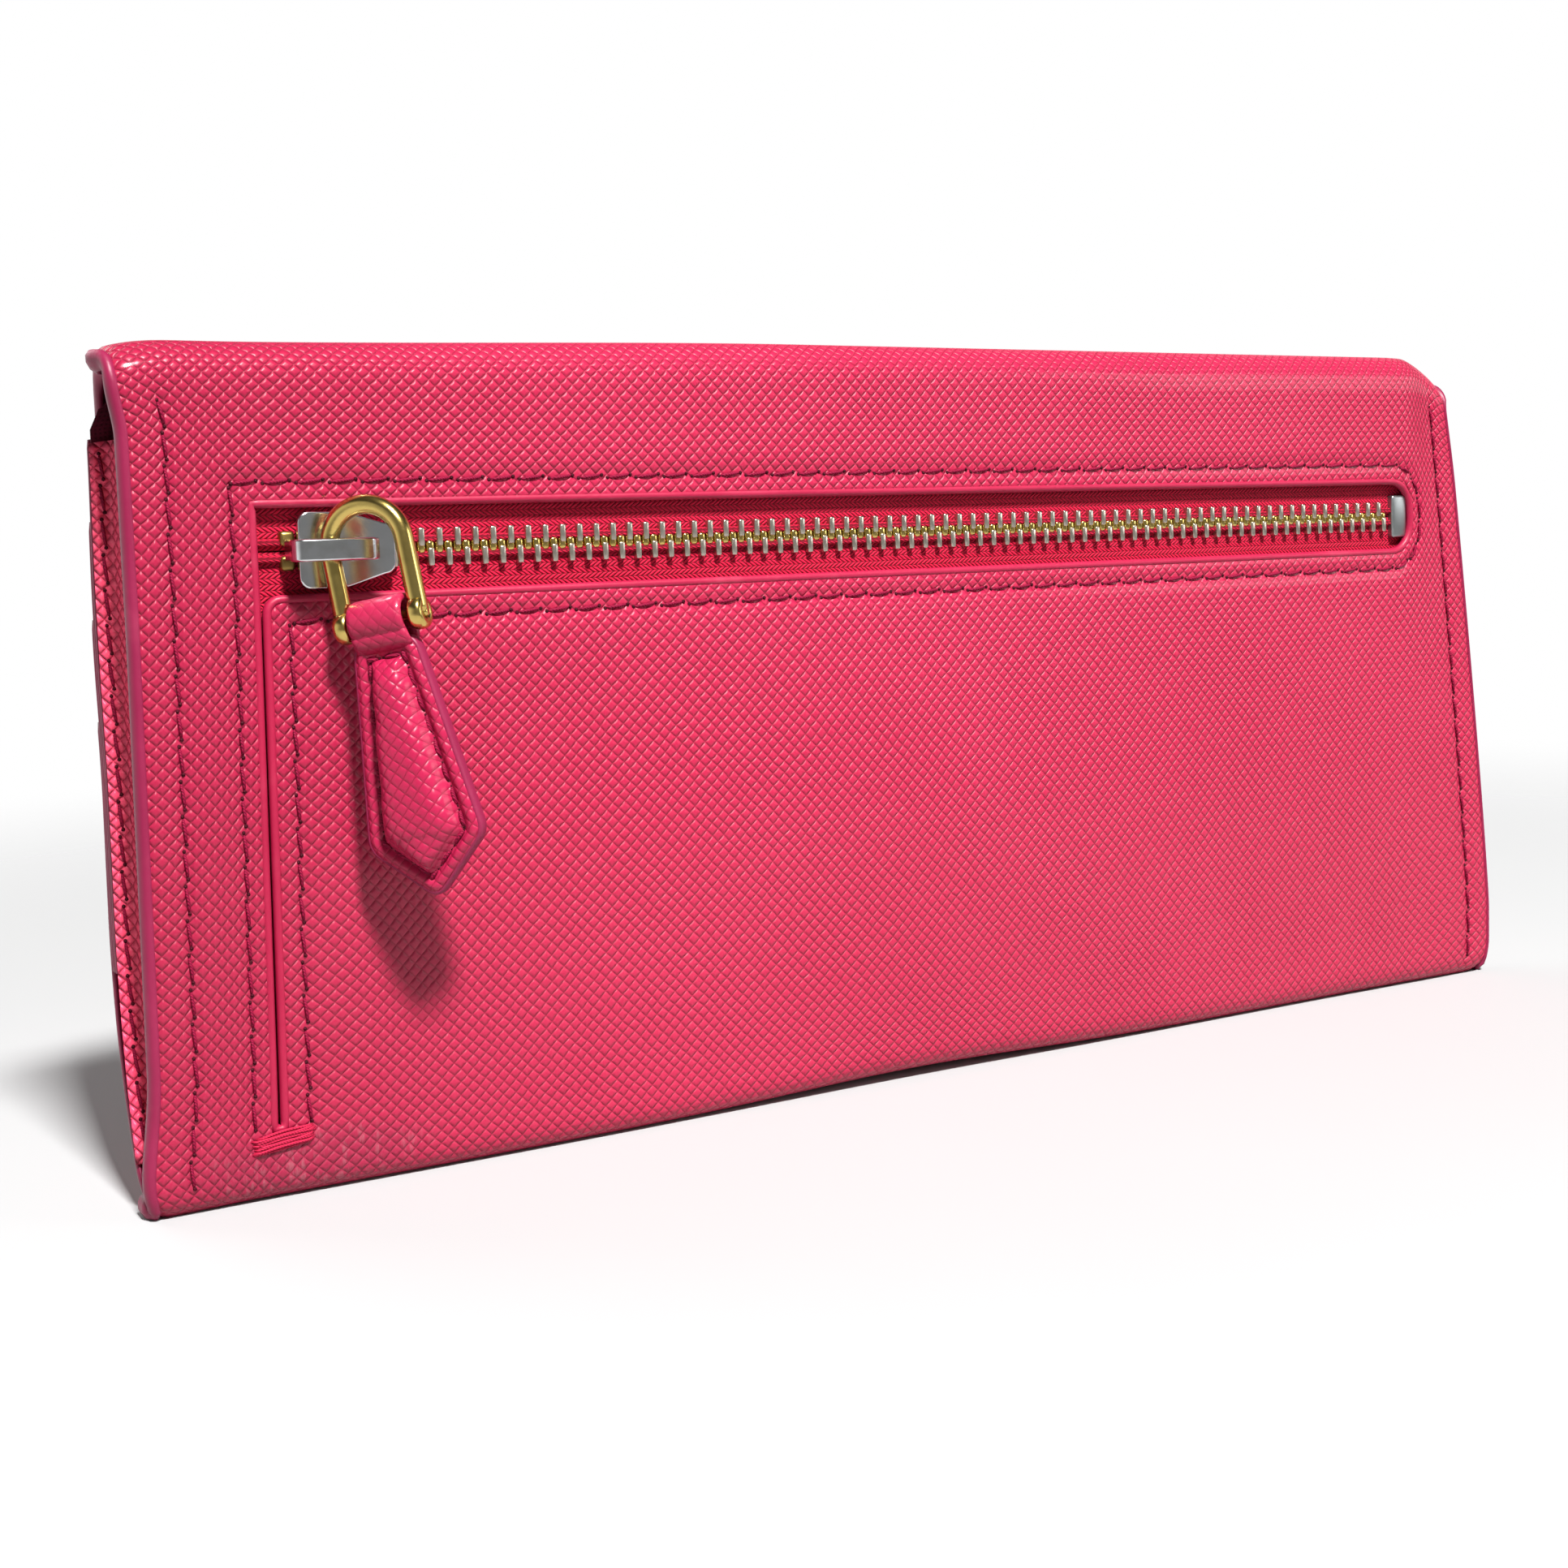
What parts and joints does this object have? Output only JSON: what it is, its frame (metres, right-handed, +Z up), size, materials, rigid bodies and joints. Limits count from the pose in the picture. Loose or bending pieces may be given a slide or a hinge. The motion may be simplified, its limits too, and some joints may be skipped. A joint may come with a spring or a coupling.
{
  "type": "wristlet wallet",
  "caption": "Long leather flap wallet with an L-shaped zip coin pocket in its back, a ring-hung pull tab, bill and card compartments, side gussets and a snap-closed flap.",
  "frame": {"origin": "on the flat underside of the bottom fold, midway along the width, in the plane midway between the back face and the flap's outer face", "axes": "+Z up; +X along the width with the zip slider at the -X end; -Y out of the zip-pocket face; +Y out of the flap's front"},
  "size_m": [0.192, 0.0355, 0.09],
  "materials": {
    "leather": "cross-hatch embossed, semi-gloss",
    "lining": "matt woven lining",
    "zip_tape": "ribbed woven tape",
    "zip_metal": "polished nickel",
    "gold_metal": "polished pale gold",
    "thread": "waxed thread"
  },
  "bodies": {
    "body": {"back_outer_panel": "leather", "bottom_fold": "leather", "zip_tape_upper": "zip_tape", "zip_tape_lower": "zip_tape", "zip_teeth_upper": "zip_metal", "zip_teeth_lower": "zip_metal", "zip_top_stop_upper": "gold_metal", "zip_top_stop_lower": "gold_metal", "zip_bottom_stop": "zip_metal", "coin_pocket_front": "lining", "coin_pocket_back": "lining", "gusset_left": "leather", "gusset_right": "leather", "flap_fold_rear": "leather", "bar_tack": "thread"},
    "front_leaf": {"card_backing": "lining", "card_tier_1": "leather", "card_tier_2": "leather", "card_tier_3": "leather", "front_outer_panel": "leather", "snap_socket": "zip_metal"},
    "flap_top": {"flap_top_outer": "leather", "flap_top_lining": "lining", "flap_fold_front": "leather"},
    "flap_front": {"flap_front_outer": "leather", "flap_stiffener": "lining", "flap_front_lining": "lining", "snap_stud": "zip_metal"},
    "slider": {"slider_top_plate": "zip_metal", "slider_bottom_plate": "zip_metal", "slider_bridge": "zip_metal"},
    "ring": {"pull_ring": "gold_metal", "ring_pin": "gold_metal"},
    "tab": {"tab_loop": "leather", "tab_filler": "lining", "tab_front": "leather", "tab_back": "leather"}
  },
  "joints": [
    {"name": "flap_rear_fold", "type": "hinge", "parent": "body", "child": "flap_top", "pos_m": [0, -0.00974, 0.08914], "axis": [1, 0, 0], "range_deg": [0, 90], "deforming": ["flap_fold_rear"]},
    {"name": "flap_front_fold", "type": "hinge", "parent": "flap_top", "child": "flap_front", "pos_m": [0, 0.00974, 0.08914], "axis": [1, 0, 0], "range_deg": [0, 90], "deforming": ["flap_fold_front"]},
    {"name": "mouth_spread", "type": "hinge", "parent": "body", "child": "front_leaf", "pos_m": [0, 0.0036, 0.0012], "axis": [-1, 0, 0], "range_deg": [0, 7], "deforming": ["gusset_left", "gusset_right"]},
    {"name": "zip_slide", "type": "slide", "parent": "body", "child": "slider", "axis": [1, 0, 0], "range_m": [0, 0.1465]},
    {"name": "ring_swivel", "type": "hinge", "parent": "slider", "child": "ring", "pos_m": [-0.0753, -0.01255, 0.06745], "axis": [-0.1228, 0.1228, 0.9848], "range_deg": [-35, 40]},
    {"name": "tab_swing", "type": "hinge", "parent": "ring", "child": "tab", "pos_m": [-0.07137, -0.01648, 0.0601], "axis": [-0.6964, 0.6964, -0.1736], "range_deg": [0, 95]}
  ],
  "couplings": [
    {"joint": "flap_front_fold", "follows": "flap_rear_fold", "ratio": 1},
    {"joint": "mouth_spread", "follows": "flap_rear_fold", "ratio": 0.0777}
  ]
}
